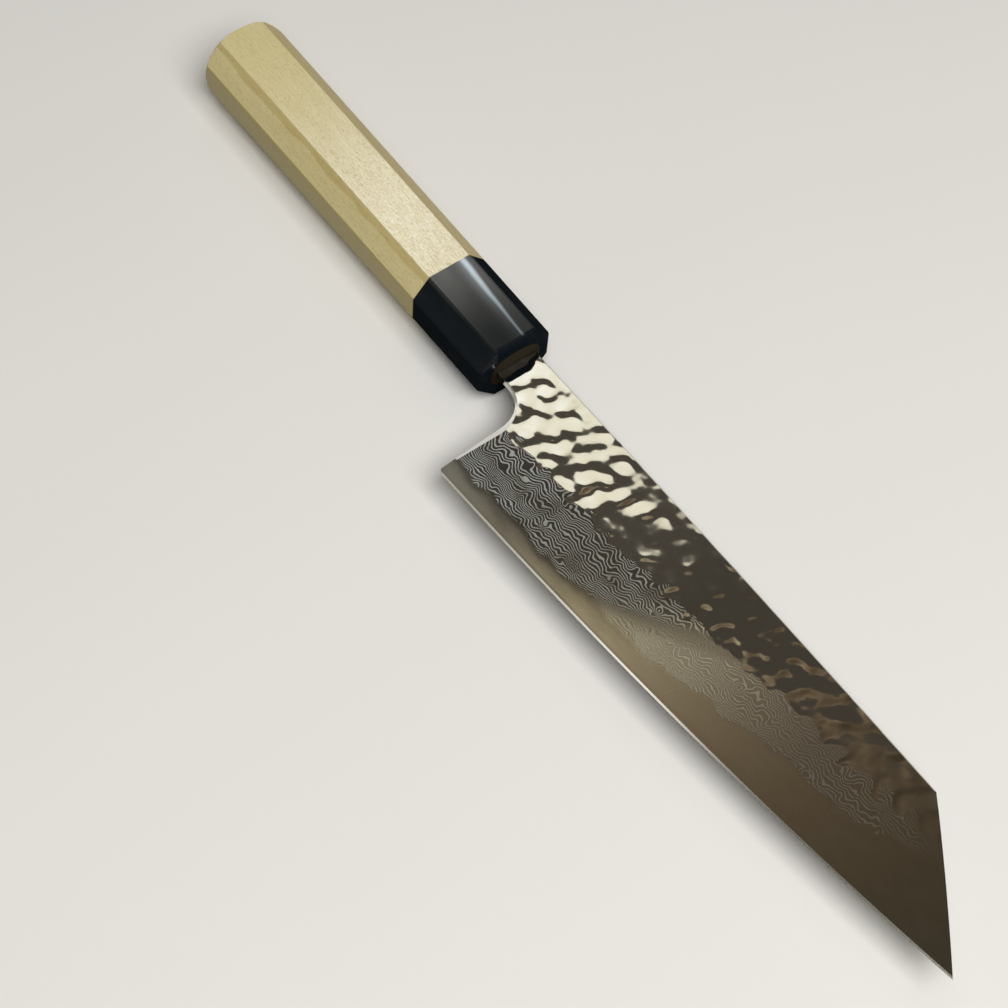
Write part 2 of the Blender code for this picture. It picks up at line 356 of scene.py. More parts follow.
@dataclass(frozen=True)
class BladeSteel:
    """Steel of the whole blade: satin core, etched layers over it, polished hammer marks on top.

    Places along X and heights are millimetres. The heights of satin_limit, of the halo and of layer_foot
    count from the scalloped line in which the satin core and the layers meet.
    """

    name: str
    polished: Colour = (0.64, 0.62, 0.58)
    bevel: Colour = (0.74, 0.73, 0.69)
    satin: Colour = (0.46, 0.435, 0.385)
    satin_cloud: Colour = (0.36, 0.335, 0.30)
    at_tip: Colour = (0.47, 0.445, 0.39)
    halo: Colour = (0.20, 0.175, 0.15)
    smooth_layer: Colour = (0.44, 0.43, 0.42)
    etched_at_heel: Colour = (0.53, 0.575, 0.58)
    etched_layer: Colour = (0.42, 0.425, 0.405)
    etched_midway: Colour = (0.52, 0.50, 0.385)
    etched_at_tip: Colour = (0.14, 0.13, 0.10)
    polished_roughness: float = 0.05
    satin_roughness: float = 0.115
    mist_roughness: float = 0.06
    etched_roughness: float = 0.42
    bevel_roughness: float = 0.14
    bevel_top: Span = (0.60, 0.55)
    grind_line: Span = (-0.002, 0.004)
    rim_line: Span = (0.01, 0.0)
    plain_reach: Span = (120.0, 165.0)
    scallops: Grain = Grain((5.5, 5.5, 50.0), 1.0, 0.4)
    scallop_depth: float = 3.4
    scallops_below: float = 1.3
    satin_limit: Span = (0.8, -0.5)
    mist: Grain = Grain((6.0, 2.6, 50.0), 2.0)
    cloud: Grain = Grain((17.0, 6.0, 50.0))
    cloud_step: Span = (0.45, 0.70)
    cloud_reach: Span = (85.0, 40.0)
    halo_foot: Span = (-1.6, 0.2)
    halo_top: Span = (1.5, 0.4)
    halo_reach: Span = (88.0, 62.0)
    halo_share: float = 0.55
    flat_reach: Span = (62.0, 88.0)
    flat_share: float = 0.6
    heel_reach: Span = (28.0, 58.0)
    midway_reach: Span = (72.0, 92.0)
    tip_reach: Span = (86.0, 138.0)
    layer_foot: Span = (0.0, 1.2)
    layer_reach: Span = (188.0, 122.0)
    washed_x: float = 113.5
    washed_lean: float = 1.5
    washed_width: Span = (7.5, 1.5)
    washed_share: float = 0.6
    faint: Grain = Grain((9.0, 5.0, 50.0))
    faint_step: Span = (0.58, 0.34)
    faint_reach: Span = (96.0, 80.0)
    faint_share: float = 0.45
    pitch: float = 0.77
    layer_waves: tuple[tuple[Grain, float], ...] = (
        (Grain((3.3, 5.0, 50.0), 0.0), 4.4),
        (Grain((12.0, 9.0, 50.0), 0.0), 4.5),
        (Grain((1.7, 2.8, 50.0), 0.0), 1.2),
    )
    eye_spacing: tuple[float, float, float] = (10.0, 8.0, 50.0)
    eye_size: Span = (0.24, 0.0)
    eye_rings: float = 2.6
    flattened: Span = (11.0, 26.0)
    flattening: float = 2.5
    layer_edge: Span = (0.0, 0.95)

    def paint(self, shader: Shader, origin: Vector) -> dict[str, object]:
        """Paint bevel, satin core, etched layers and polished flats.

        Args:
            shader: Builds the nodes.
            origin: Where the handle's axis starts.

        Returns:
            Values or wires of the Principled shader's sockets.
        """
        point = shader.place(origin)
        x, _, _ = point.split()
        height = shader.attribute("over_edge")
        off_rim = shader.attribute("rim").ramp(*self.rim_line)
        ground = shader.attribute("ground").ramp(*self.grind_line) * off_rim
        bevel = height.ramp(*self.bevel_top)
        scallops = self.scallops.on(point) * self.scallop_depth - self.scallops_below
        above = height - shader.attribute("band") - scallops
        satin = above.ramp(*self.satin_limit) * ground
        plain = x.ramp(*self.plain_reach)
        etched = self._layers(point, height) * self._shown(point, above) * ground
        cloud = self.cloud.on(point).ramp(*self.cloud_step) * x.ramp(*self.cloud_reach)
        halo = above.ramp(*self.halo_foot) * above.ramp(*self.halo_top) * x.ramp(*self.halo_reach) * ground
        flat = shader.mix(x.ramp(*self.flat_reach) * self.flat_share, self.polished, self.at_tip)
        steel = shader.mix(ground, flat, self.smooth_layer)
        steel = shader.mix(satin, steel, shader.mix(cloud, self.satin, self.satin_cloud))
        steel = shader.mix(plain, steel, self.at_tip)
        steel = shader.mix(halo * self.halo_share, steel, self.halo)
        steel = shader.mix(etched, steel, self._etched_colour(x))
        misty = self.mist.about_zero(point) * self.mist_roughness + self.satin_roughness
        roughness = (satin + (1.0 - satin) * plain).between(self.polished_roughness, misty)
        roughness = etched.between(roughness, self.etched_roughness)
        return {
            "Base Color": shader.mix(bevel, steel, self.bevel),
            "Metallic": 1.0,
            "Roughness": bevel.between(roughness, self.bevel_roughness),
        }

    def _etched_colour(self, x: Wire) -> Wire:
        """The etched layers' colour, which changes from heel to tip.

        Args:
            x: Place along X in millimetres.

        Returns:
            The colour.
        """
        colour = x.shader.mix(x.ramp(*self.heel_reach), self.etched_at_heel, self.etched_layer)
        colour = x.shader.mix(x.ramp(*self.midway_reach), colour, self.etched_midway)
        return x.shader.mix(x.ramp(*self.tip_reach), colour, self.etched_at_tip)

    def _shown(self, point: Wire, above: Wire) -> Wire:
        """How plainly the layers show: less towards the tip, in one washed stripe and in faint patches.

        Args:
            point: Place in millimetres.
            above: Height over the scallops in millimetres.

        Returns:
            1 where the layers show in full and 0 where they are gone.
        """
        x, y, _ = point.split()
        stripe = abs(x - y * self.washed_lean - self.washed_x)
        washed = stripe.ramp(*self.washed_width) * self.washed_share
        patches = self.faint.on(point).ramp(*self.faint_step)
        faint = patches * x.ramp(*self.faint_reach) * self.faint_share
        return above.ramp(*self.layer_foot) * x.ramp(*self.layer_reach) * (1.0 - washed) * (1.0 - faint)

    def _layers(self, point: Wire, height: Wire) -> Wire:
        """The grinding's cut through the layers.

        Args:
            point: Place in millimetres.
            height: Height over the edge in millimetres.

        Returns:
            1 on an etched layer and 0 on a smooth one.
        """
        depth = (height - height.ramp(*self.flattened) * self.flattening) / self.pitch
        for grain, layers in self.layer_waves:
            depth = depth + grain.about_zero(point) * layers
        inputs = {"Vector": point.stretched(self.eye_spacing), "Scale": 1.0}
        eyes = point.shader.node("ShaderNodeTexVoronoi", {"feature": "F1"}, inputs, "Distance")
        depth = depth + eyes.ramp(*self.eye_size) * self.eye_rings
        return (depth * math.tau).sine().ramp(*self.layer_edge)


@dataclass(frozen=True)
class PolishedHorn:
    """Black horn of the ferrule: glossier on the upper flat, with a painted highlight streak along it that
    also strengthens the coat.

    Places are millimetres. A pair of widths or shines holds the values at the front and at the back, and
    the hairs' pairs hold those between and on the hairs.
    """

    name: str = "black_horn"
    black: Colour = (0.0035, 0.0065, 0.009)
    cloud: Colour = (0.009, 0.010, 0.011)
    # A painted highlight colour for the streak
    painted_highlight: Colour = (0.58, 0.80, 0.98)
    clouds: Grain = Grain((14.0, 3.0, 3.0), 3.0)
    cloud_step: Span = (0.55, 0.95)
    hairs: Grain = Grain((6.0, 0.25, 0.25), 2.0, 0.6)
    hair_clouds: float = 0.3
    hair_relief: float = 0.02
    hair_shine: Span = (0.55, 1.45)
    roughness: Span = (0.26, 0.36)
    waves: Grain = Grain((9.0, 3.0, 3.0), 1.0, 0.4)
    relief_depth: float = 0.05 * MM
    wander: Grain = Grain((11.0, 50.0, 50.0), 1.0, 0.4)
    wander_width: float = 0.7
    front_to_back: Span = (-2.0, -30.0)
    streak_y: float = 2.75
    streak_rise: float = 0.045
    streak_width: Span = (0.6, 1.5)
    streak_shine: Span = (0.38, 1.13)
    highlight_colour_share: float = 0.36
    streak_coat: float = 0.5
    glow_low: Span = (-3.4, 0.0)
    glow_high: Span = (1.2, 0.0)
    glow_shine: Span = (0.02, 0.28)
    top_z: Span = (9.2, 9.8)
    top_front: Span = (-0.8, -1.8)
    top_shine: Span = (0.118, 0.378)
    low_half: Span = (0.0, -4.0)
    low_half_shine: Span = (0.25, 1.35)
    chamfer_y: Span = (-6.0, -6.8)
    chamfer_z: Span = (3.8, 5.0)
    chamfer_shine: float = 0.14
    least_shine: float = 0.01

    def paint(self, shader: Shader, origin: Vector) -> dict[str, object]:
        """Paint dark clouds, fine hairs, the shine of the upper flat and a painted highlight streak along it.

        Args:
            shader: Builds the nodes.
            origin: Where the handle's axis starts.

        Returns:
            Values or wires of the Principled shader's sockets.
        """
        point = shader.place(origin)
        x, y, z = point.split()
        back = x.ramp(*self.front_to_back)
        hairs = self.hairs.on(point)
        top = z.ramp(*self.top_z) * x.ramp(*self.top_front)
        highlight_streak = self._streak(point, hairs, back) * top
        low_half = 1.0 + y.ramp(*self.low_half) * back.between(*self.low_half_shine)
        shine = top * back.between(*self.top_shine) * low_half
        chamfer = y.ramp(*self.chamfer_y) * z.ramp(*self.chamfer_z)
        clouds = (self.clouds.on(point) + hairs * self.hair_clouds).ramp(*self.cloud_step)
        dark = shader.mix(clouds, self.black, self.cloud)
        relief = self.waves.on(point) + hairs * self.hair_relief
        coat = shine + highlight_streak * self.streak_coat + chamfer * self.chamfer_shine + self.least_shine
        return {
            # The base colour carries a painted highlight along the streak
            "Base Color": shader.mix(highlight_streak * self.highlight_colour_share, dark, self.painted_highlight),
            "Roughness": hairs.between(*self.roughness),
            "Normal": shader.bump(relief, self.relief_depth),
            "Specular IOR Level": 0.0,
            "Coat Weight": coat,
            "Coat IOR": 3.0,
            "Coat Roughness": 0.20,
        }

    def _streak(self, point: Wire, hairs: Wire, back: Wire) -> Wire:
        """A line along the upper flat, with a glow on its lower side. Both are a painted highlight in the
        base colour, and they also strengthen the coat.

        Args:
            point: Place in millimetres.
            hairs: The horn's fine hairs.
            back: 0 at the ferrule's front and 1 at its back.

        Returns:
            How strongly the line shines.
        """
        x, y, _ = point.split()
        wander = self.wander.about_zero(point) * self.wander_width
        off = y - self.streak_y + x * self.streak_rise - wander
        line = (abs(off) / back.between(*self.streak_width)).ramp(1.0, 0.0)
        glow = off.ramp(*self.glow_low) * off.ramp(*self.glow_high)
        crisp = line * hairs.between(*self.hair_shine) * back.between(*self.streak_shine)
        return crisp + glow * back.between(*self.glow_shine)


@dataclass(frozen=True)
class PaleWood:
    """Magnolia of the grip: pale, with a painted sheen and painted highlight flecks on top near the ferrule,
    fine pores, a golden stripe on the lower chamfer, a golden tone on the upper chamfer that is partly
    painted shade, and painted shade on the lower side.

    Places are millimetres. The arris is the edge between the broad upper flat and a chamfer, and the
    handle tapers, so the flat's height and the arris's place grow towards the butt.
    """

    name: str = "magnolia_wood"
    light: Colour = (0.590, 0.520, 0.275)
    # A painted sheen for the top flat near the ferrule
    painted_sheen: Colour = (0.800, 0.745, 0.550)
    # Wood tone that on the upper chamfer is partly painted shade
    golden_tone_and_shade: Colour = (0.365, 0.27, 0.075)
    # Painted shade for the lower side
    painted_side_shade: Colour = (0.320, 0.260, 0.079)
    # Painted highlight flecks on the top flat
    fleck_highlight: Colour = (0.93, 0.90, 0.78)
    pore: Colour = (0.36, 0.27, 0.12)
    top_z: Span = (9.70, 9.95)
    top_taper: float = 0.0067
    arris_y: float = 6.45
    arris_taper: float = 0.0052
    arris_limit: Span = (-0.1, 0.1)
    side_limit: Span = (5.1, 5.3)
    side_shade_share: float = 0.95
    low_half: Span = (-0.5, -1.5)
    fibres: Grain = Grain((5.0, 0.40, 0.40), 3.0, 0.6)
    fibre_step: Span = (0.70, 0.35)
    fibre_gold: float = 0.20
    fibre_gloss: float = 0.06
    fibre_relief: float = 0.6
    relief_depth: float = 0.02 * MM
    drift: Grain = Grain((45.0, 5.0, 5.0))
    drift_step: Span = (0.40, 0.75)
    drift_gold: float = 0.10
    high_chamfer_gold_and_shade: float = 0.58
    stripe_waves: Grain = Grain((16.0, 60.0, 60.0), 2.0)
    stripe_width: float = 2.6
    stripe_limit: Span = (0.5, 0.0)
    stripe_gold: float = 0.42
    painted_sheen_reach: Span = (-128.0, -48.0)
    highlight_flecks: Grain = Grain((1.0, 0.30, 0.30))
    highlight_fleck_step: Span = (0.50, 0.68)
    pores: Grain = Grain((1.1, 0.28, 0.28))
    pore_step: Span = (0.57, 0.72)
    pore_share: Span = (0.50, 0.58)
    pore_roughness: float = 0.2
    front_reach: Span = (-100.0, -45.0)
    roughness: float = 0.44

    def paint(self, shader: Shader, origin: Vector) -> dict[str, object]:
        """Paint fibres, pores, a painted sheen with painted highlight flecks on top, the golden stripe, a
        golden upper chamfer that is partly painted shade, and painted shade on the lower side.

        Args:
            shader: Builds the nodes.
            origin: Where the handle's axis starts.

        Returns:
            Values or wires of the Principled shader's sockets.
        """
        point = shader.place(origin)
        x, y, z = point.split()
        top = (z + x * self.top_taper).ramp(*self.top_z)
        outside = abs(y) + x * self.arris_taper - self.arris_y
        low_half = y.ramp(*self.low_half)
        front = x.ramp(*self.front_reach)
        fibres = self.fibres.on(point)
        pores = self.pores.on(point).ramp(*self.pore_step)
        highlight_flecks = self.highlight_flecks.on(point).ramp(*self.highlight_fleck_step)
        # A painted sheen on the top flat, stronger towards the ferrule
        base = shader.mix(x.ramp(*self.painted_sheen_reach) * top, self.light, self.painted_sheen)
        # Painted highlight flecks on the top flat near the ferrule
        base = shader.mix(highlight_flecks * front * top, base, self.fleck_highlight)
        gold_and_shade = fibres.ramp(*self.fibre_step) * self.fibre_gold
        gold_and_shade = gold_and_shade + self.drift.on(point).ramp(*self.drift_step) * self.drift_gold
        gold_and_shade = gold_and_shade + self._chamfer_gold_and_shade(point, outside, low_half)
        # Painted shade darkens the lower side
        side = outside.ramp(*self.side_limit) * low_half * self.side_shade_share
        base = shader.mix(side, shader.mix(gold_and_shade, base, self.golden_tone_and_shade), self.painted_side_shade)
        return {
            "Base Color": shader.mix(pores * front.between(*self.pore_share), base, self.pore),
            "Roughness": pores * self.pore_roughness - fibres * self.fibre_gloss + self.roughness,
            "Normal": shader.bump(fibres * self.fibre_relief - pores, self.relief_depth),
        }

    def _chamfer_gold_and_shade(self, point: Wire, outside: Wire, low_half: Wire) -> Wire:
        """The golden share of the chamfers: even on the upper one, where it is partly wood tone and partly
        painted shade, and a wavy stripe on the lower.

        Args:
            point: Place in millimetres.
            outside: How far the place is past the arris.
            low_half: 1 on the lower half of the grip and 0 on the upper.

        Returns:
            The share.
        """
        past_arris = outside.ramp(*self.arris_limit)
        wave = self.stripe_waves.on(point) * self.stripe_width
        stripe = past_arris * (outside - wave).ramp(*self.stripe_limit) * low_half
        # On the upper chamfer the golden share is partly painted shade
        return (1.0 - low_half) * past_arris * self.high_chamfer_gold_and_shade + stripe * self.stripe_gold


@dataclass(frozen=True)
class ShadedEndGrain:
    """Brown wood of the dowel, which shows its end. Its brown is painted much darker, as painted shade."""

    name: str = "brown_wood"
    # Brown wood painted much darker, as painted shade
    light: Colour = (0.020, 0.015, 0.005)
    dark: Colour = (0.007, 0.005, 0.002)
    rings: Grain = Grain((30.0, 0.9, 4.0), 3.0, 0.6)
    ring_share: float = 0.7
    pores: Grain = Grain((3.0, 0.16, 0.16))
    pore_step: Span = (0.5, 0.75)
    pore_share: float = 0.4
    relief_depth: float = 0.03 * MM
    roughness: Span = (0.55, 0.70)

    def paint(self, shader: Shader, origin: Vector) -> dict[str, object]:
        """Paint year rings and pores.

        Args:
            shader: Builds the nodes.
            origin: Where the handle's axis starts.

        Returns:
            Values or wires of the Principled shader's sockets.
        """
        point = shader.place(origin)
        pores = self.pores.on(point)
        dark = self.rings.on(point) * self.ring_share
        dark = dark + pores.ramp(*self.pore_step) * self.pore_share
        return {
            "Base Color": shader.mix(dark, self.light, self.dark),
            "Roughness": pores.between(*self.roughness),
            "Specular IOR Level": 0.05,
            "Normal": shader.bump(pores, self.relief_depth),
        }


@dataclass(frozen=True)
class DarkResin:
    """Cured resin round the tang."""

    name: str = "dark_resin"
    light: Colour = (0.013, 0.0095, 0.004)
    dark: Colour = (0.005, 0.0035, 0.0015)
    grain: Grain = Grain((0.8, 0.8, 0.8), 3.0, 0.6)
    relief_depth: float = 0.05 * MM
    roughness: Span = (0.45, 0.65)

    def paint(self, shader: Shader, origin: Vector) -> dict[str, object]:
        """Paint a fine uneven grain.

        Args:
            shader: Builds the nodes.
            origin: Where the handle's axis starts.

        Returns:
            Values or wires of the Principled shader's sockets.
        """
        grain = self.grain.on(shader.place(origin))
        return {
            "Base Color": shader.mix(grain, self.dark, self.light),
            "Roughness": grain.between(*self.roughness),
            "Specular IOR Level": 0.05,
            "Normal": shader.bump(grain, self.relief_depth),
        }


@dataclass(frozen=True)
class PaleFloor:
    """Matt studio floor."""

    name: str = "studio_floor"
    light: Colour = (0.71, 0.705, 0.69)
    dark: Colour = (0.69, 0.685, 0.67)
    grain: Grain = Grain((120.0, 120.0, 120.0), 2.0)

    def paint(self, shader: Shader, origin: Vector) -> dict[str, object]:
        """Paint a faint wide mottle.

        Args:
            shader: Builds the nodes.
            origin: Where the handle's axis starts.

        Returns:
            Values or wires of the Principled shader's sockets.
        """
        grain = self.grain.on(shader.place(origin))
        return {
            "Base Color": shader.mix(grain, self.dark, self.light),
            "Roughness": 0.8,
            "Specular IOR Level": 0.2,
        }


# Mesh helpers


def mix(start: Number, end: Number, share: Number) -> Number:
    """The value that lies a share of the way from start to end."""
    return start + (end - start) * share


def value_at(place: Number, curve: Curve) -> Number:
    """The value of a curve at a place."""
    return np.interp(place, *zip(*curve))


def shares(steps: int) -> list[float]:
    """Even steps from 0 to 1, both included."""
    return [step / steps for step in range(steps + 1)]


def skin(rings: Sequence[Sequence[Vector]]) -> bmesh.types.BMesh:
    """Wrap a grid round rings of equally many points and close both ends.

    Args:
        rings: The rings, in order.

    Returns:
        A closed mesh that faces out.
    """
    bm = bmesh.new()
    rows, columns = len(rings) - 1, len(rings[0])
    bmesh.ops.create_grid(bm, x_segments=rows, y_segments=columns, size=0.5)
    for vertex in bm.verts:
        ring = rings[round((vertex.co.x + 0.5) * rows)]
        vertex.co = ring[round((vertex.co.y + 0.5) * columns) % columns]
    bmesh.ops.remove_doubles(bm, verts=bm.verts, dist=MERGE_DISTANCE)
    bmesh.ops.holes_fill(bm, edges=bm.edges, sides=0)
    bmesh.ops.recalc_face_normals(bm, faces=bm.faces)
    return bm


def prism(outline: Sequence[Vector], depth: float) -> bmesh.types.BMesh:
    """A solid with a flat outline, of this depth about Z = 0.

    Args:
        outline: Points in the XY plane.
        depth: Its full depth.

    Returns:
        A closed mesh that faces out.
    """
    bm = bmesh.new()
    face = bm.faces.new([bm.verts.new((p.x, p.y, -depth / 2)) for p in outline])
    top = bmesh.ops.extrude_face_region(bm, geom=[face])["geom"]
    raised = [item for item in top if isinstance(item, bmesh.types.BMVert)]
    bmesh.ops.translate(bm, vec=(0.0, 0.0, depth), verts=raised)
    bmesh.ops.recalc_face_normals(bm, faces=bm.faces)
    return bm


def long_edges(bm: bmesh.types.BMesh) -> list[bmesh.types.BMEdge]:
    """The edges that run more than a millimetre along X: in the handle, those between two flats."""
    return [edge for edge in bm.edges if abs(edge.verts[0].co.x - edge.verts[1].co.x) > MM]


def bevel(bm: bmesh.types.BMesh, edges: Sequence[bmesh.types.BMEdge], offset: float, segments: int) -> None:
    """Round edges of a mesh.

    Args:
        bm: The mesh.
        edges: The edges.
        offset: How far the rounding reaches on each face.
        segments: Number of steps.
    """
    bmesh.ops.bevel(
        bm,
        geom=list(edges),
        offset=offset,
        offset_type="OFFSET",
        segments=segments,
        profile=0.5,
        affect="EDGES",
        material=-1,
    )


def shade(bm: bmesh.types.BMesh, angle: float = SHARP_ANGLE) -> None:
    """Shade a mesh smooth, with edges over an angle kept sharp.

    Args:
        bm: The mesh. Edges that are already sharp stay so.
        angle: The least angle of a sharp edge.
    """
    for face in bm.faces:
        face.smooth = True
    for edge in bm.edges:
        if edge.calc_face_angle(math.pi) > angle:
            edge.smooth = False


def new_object(name: str, bm: bmesh.types.BMesh) -> bpy.types.Object:
    """Turn a bmesh into an object of the scene.

    Args:
        name: The object's name.
        bm: The mesh. It is freed.

    Returns:
        The new object.
    """
    mesh = bpy.data.meshes.new(name)
    bm.to_mesh(mesh)
    bm.free()
    obj = bpy.data.objects.new(name, mesh)
    bpy.context.scene.collection.objects.link(obj)
    return obj


def trimmed(bm: bmesh.types.BMesh, cutter: bmesh.types.BMesh, cut: Cut) -> bmesh.types.BMesh:
    """Cut one solid with another.

    Args:
        bm: The solid. It is freed.
        cutter: The other solid. It is freed.
        cut: What is left of the solid.

    Returns:
        The solid that is left.
    """
    solid, tool = new_object("solid", bm), new_object("cutter", cutter)
    modifier = solid.modifiers.new("cut", "BOOLEAN")
    modifier.operation = cut.value
    modifier.object = tool
    modifier.solver = "EXACT"
    result = bmesh.new()
    result.from_object(solid, bpy.context.evaluated_depsgraph_get())
    for obj in (solid, tool):
        bpy.data.objects.remove(obj, do_unlink=True)
    bmesh.ops.remove_doubles(result, verts=result.verts, dist=MERGE_DISTANCE)
    return result


# Pieces


def cover(piece: bpy.types.Object, finish: Finish, origin: Vector) -> None:
    """Give an object one finish in place of any that it has."""
    piece.data.materials.clear()
    piece.data.materials.append(material_of(finish, origin))


class Piece(ABC):
    """A part of the knife that is made again here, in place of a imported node."""

    node: str
    finish: Finish

    @abstractmethod
    def build(self) -> bpy.types.Object:
        """Build the piece.

        Returns:
            The object, about the handle's axis.
        """

    def dress(self, built: bpy.types.Object, origin: Vector) -> None:
        """Move the built piece to its place, give it its finish, hang it on the body and hide the imported
        node that it stands for.

        Args:
            built: The object that build has made.
            origin: Where the handle's axis starts.
        """
        built.data.transform(Matrix.Translation(origin))
        cover(built, self.finish, origin)
        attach(built, BODY)
        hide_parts(self.node)


# Blade


@dataclass(frozen=True)
class BladeForm:
    """Outline, thickness and layers of the blade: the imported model's, with a finer bevel and grind line."""

    neck_top: float = 6.55 * MM
    neck_bottom: float = 6.1 * MM
    heel_x: float = 16.3 * MM
    heel_drop: float = 36.85 * MM
    heel_chamfer: float = 1.0 * MM
    choil_lean: float = 0.9 * MM
    choil_radius: float = 9.8 * MM
    edge_length: float = 180.0 * MM
    tip_drop: float = 21.0 * MM
    edge_belly: float = 2.6 * MM
    edge_belly_skew: float = 0.15
    clip_run: float = 37.3 * MM
    clip_corner_height: float = 7.9 * MM
    clip_crown: float = 0.3 * MM
    spine_crown: float = 0.42 * MM
    neck_thickness: float = 2.1 * MM
    tip_thickness: float = 1.2 * MM
    bevel_height: float = 0.55 * MM
    bevel_thickness: float = 0.30 * MM
    grind_heights: Curve = ((60.0 * MM, 21.6 * MM), (120.0 * MM, 24.2 * MM))
    grind_fullness: float = 0.7
    core_thickness: float = 0.56 * MM
    band_heights: Curve = (
        (0.0, 5.2 * MM),
        (0.24, 5.0 * MM),
        (0.44, 6.0 * MM),
        (0.59, 11.0 * MM),
        (0.79, 13.0 * MM),
        (0.87, 20.6 * MM),
    )
    band_waves: tuple[tuple[float, float], ...] = ((0.5 * MM, 31.0 * MM), (0.35 * MM, 13.0 * MM))
    tang_length: float = 94.0 * MM
    tang_end_height: float = 5.0 * MM
    tang_end_thickness: float = 1.5 * MM
    station_step: float = 2.0 * MM
    margin: float = 8.0 * MM
    arc_steps: int = 48
    crown_steps: int = 40

    @property
    def tip_x(self) -> float:
        """Place of the tip along X."""
        return self.heel_x + self.edge_length

    @property
    def neck_middle(self) -> float:
        """Height of the neck's middle."""
        return (self.neck_top - self.neck_bottom) / 2

    def edge_y(self, x: Number) -> Number:
        """Height of the cutting edge.

        Args:
            x: Place along X.

        Returns:
            The edge's place along Y.
        """
        share = (x - self.heel_x) / self.edge_length
        skew = 1 + self.edge_belly_skew * (2 * share - 1)
        return -mix(self.heel_drop, self.tip_drop, share) - 4 * self.edge_belly * share * (1 - share) * skew

    def flat_half(self, x: Number) -> Number:
        """Half the thickness above the grind.

        Args:
            x: Place along X.

        Returns:
            Half the thickness there.
        """
        tang = mix(self.neck_thickness, self.tang_end_thickness, -x / self.tang_length)
        blade = mix(self.neck_thickness, self.tip_thickness, x / self.tip_x)
        return np.where(x < 0, tang, blade) / 2

    def ground_half(self, x: Number, height: Number) -> Number:
        """Half the thickness of the ground face, from the bevel up.

        Args:
            x: Place along X.
            height: Height over the edge.

        Returns:
            Half the thickness there.
        """
        top = value_at(x, self.grind_heights)
        share = (height - self.bevel_height) / (top - self.bevel_height)
        full = np.maximum(share, 0.0) ** self.grind_fullness
        return mix(self.bevel_thickness / 2, self.flat_half(x), full)

    def band_height(self, x: Number) -> Number:
        """Height over the edge at which the cladding ends.

        Args:
            x: Place along X.

        Returns:
            The height there.
        """
        waves = sum(size * np.sin(math.tau * x / length) for size, length in self.band_waves)
        return value_at((x - self.heel_x) / self.edge_length, self.band_heights) + waves

    def band_y(self, x: float) -> float:
        """Height of the band's upper limit at x."""
        return float(self.edge_y(x) + self.band_height(x))

    def crowned(self, start: Vector, end: Vector, crown: float) -> list[Vector]:
        """Points of a line that bulges to the right of its way.

        Args:
            start: First point.
            end: Last point.
            crown: Height of the bulge.

        Returns:
            The points, both ends included.
        """
        along = end - start
        outwards = Vector((along.y, -along.x)).normalized()
        steps = shares(self.crown_steps)
        return [start + along * s + outwards * crown * 4 * s * (1 - s) for s in steps]

    def choil(self) -> list[Vector]:
        """Neck's lower edge, choil and the blade's back.

        Returns:
            The points, from the neck down to the heel's chamfer.
        """
        heel_y = self.edge_y(self.heel_x)
        foot = Vector((self.heel_x - self.heel_chamfer, heel_y + self.heel_chamfer))
        centre_x = foot.x - self.choil_lean - self.choil_radius
        centre = Vector((centre_x, -self.neck_bottom - self.choil_radius))
        turns = [QUARTER_TURN * (1 - share) for share in shares(self.arc_steps)]
        arc = [centre + self.choil_radius * Vector((math.cos(t), math.sin(t))) for t in turns]
        back = [arc[-1].lerp(foot, share) for share in shares(self.arc_steps)[1:]]
        return [Vector((0.0, -self.neck_bottom)), *arc, *back]

    @property
    def tip(self) -> Vector:
        """The blade's point."""
        return Vector((self.tip_x, self.edge_y(self.tip_x)))

    @property
    def clip_corner(self) -> Vector:
        """Corner between the spine and the clipped front."""
        return Vector((self.tip_x - self.clip_run, self.clip_corner_height))

    def clip(self) -> list[Vector]:
        """The clipped front, from the tip to the spine's corner."""
        return self.crowned(self.tip, self.clip_corner, self.clip_crown)

    def spine(self) -> list[Vector]:
        """The spine, from the clip's corner to the neck."""
        return self.crowned(self.clip_corner, Vector((0.0, self.neck_top)), self.spine_crown)

    def tang_end(self) -> tuple[Vector, Vector]:
        """Lower and upper corner of the tang's end."""
        half = self.tang_end_height / 2
        return tuple(Vector((-self.tang_length, self.neck_middle + side * half)) for side in (-1, 1))

    def outline(self) -> list[Vector]:
        """Outline of tang and blade.

        Returns:
            The points. Past the edge they run outside, where the grind ends.
        """
        low, high = self.tang_end()
        heel = Vector((self.heel_x, self.edge_y(self.heel_x)))
        past_heel = heel + Vector((self.margin, -self.margin))
        past_tip = self.tip + (self.tip - self.clip_corner).normalized() * self.margin
        return [low, *self.choil(), past_heel, past_tip, *self.clip(), *self.spine()[1:], high]

    def stations(self) -> list[float]:
        """Places along X where the blade's section is given, from behind the tang to past the tip."""
        steps = range(math.ceil((self.tip_x + self.margin) / self.station_step) + 1)
        return [-self.tang_length - self.margin, *(step * self.station_step for step in steps)]


@dataclass(frozen=True)
class Swell:
    """A family of crossing waves that together tilt a surface by a set amount."""

    count: int
    lengths: tuple[float, float]
    tilt: float

    def relief(self, chance: random.Random, x: np.ndarray, y: np.ndarray) -> np.ndarray:
        """Height of the waves' sum at each point.

        Args:
            chance: Source of each wave's length, direction and phase.
            x: Places along the blade.
            y: Places across it.

        Returns:
            The heights.
        """
        total = np.zeros_like(x)
        for _ in range(self.count):
            length = math.exp(chance.uniform(*map(math.log, self.lengths)))
            turn = chance.uniform(-math.pi, math.pi)
            along = x * math.cos(turn) + y * math.sin(turn)
            total += length / math.tau * np.sin(along * math.tau / length + chance.uniform(0, math.tau))
        # Each wave adds a quarter to the variance of the slope along X.
        return total * self.tilt / math.sqrt(self.count / 4)


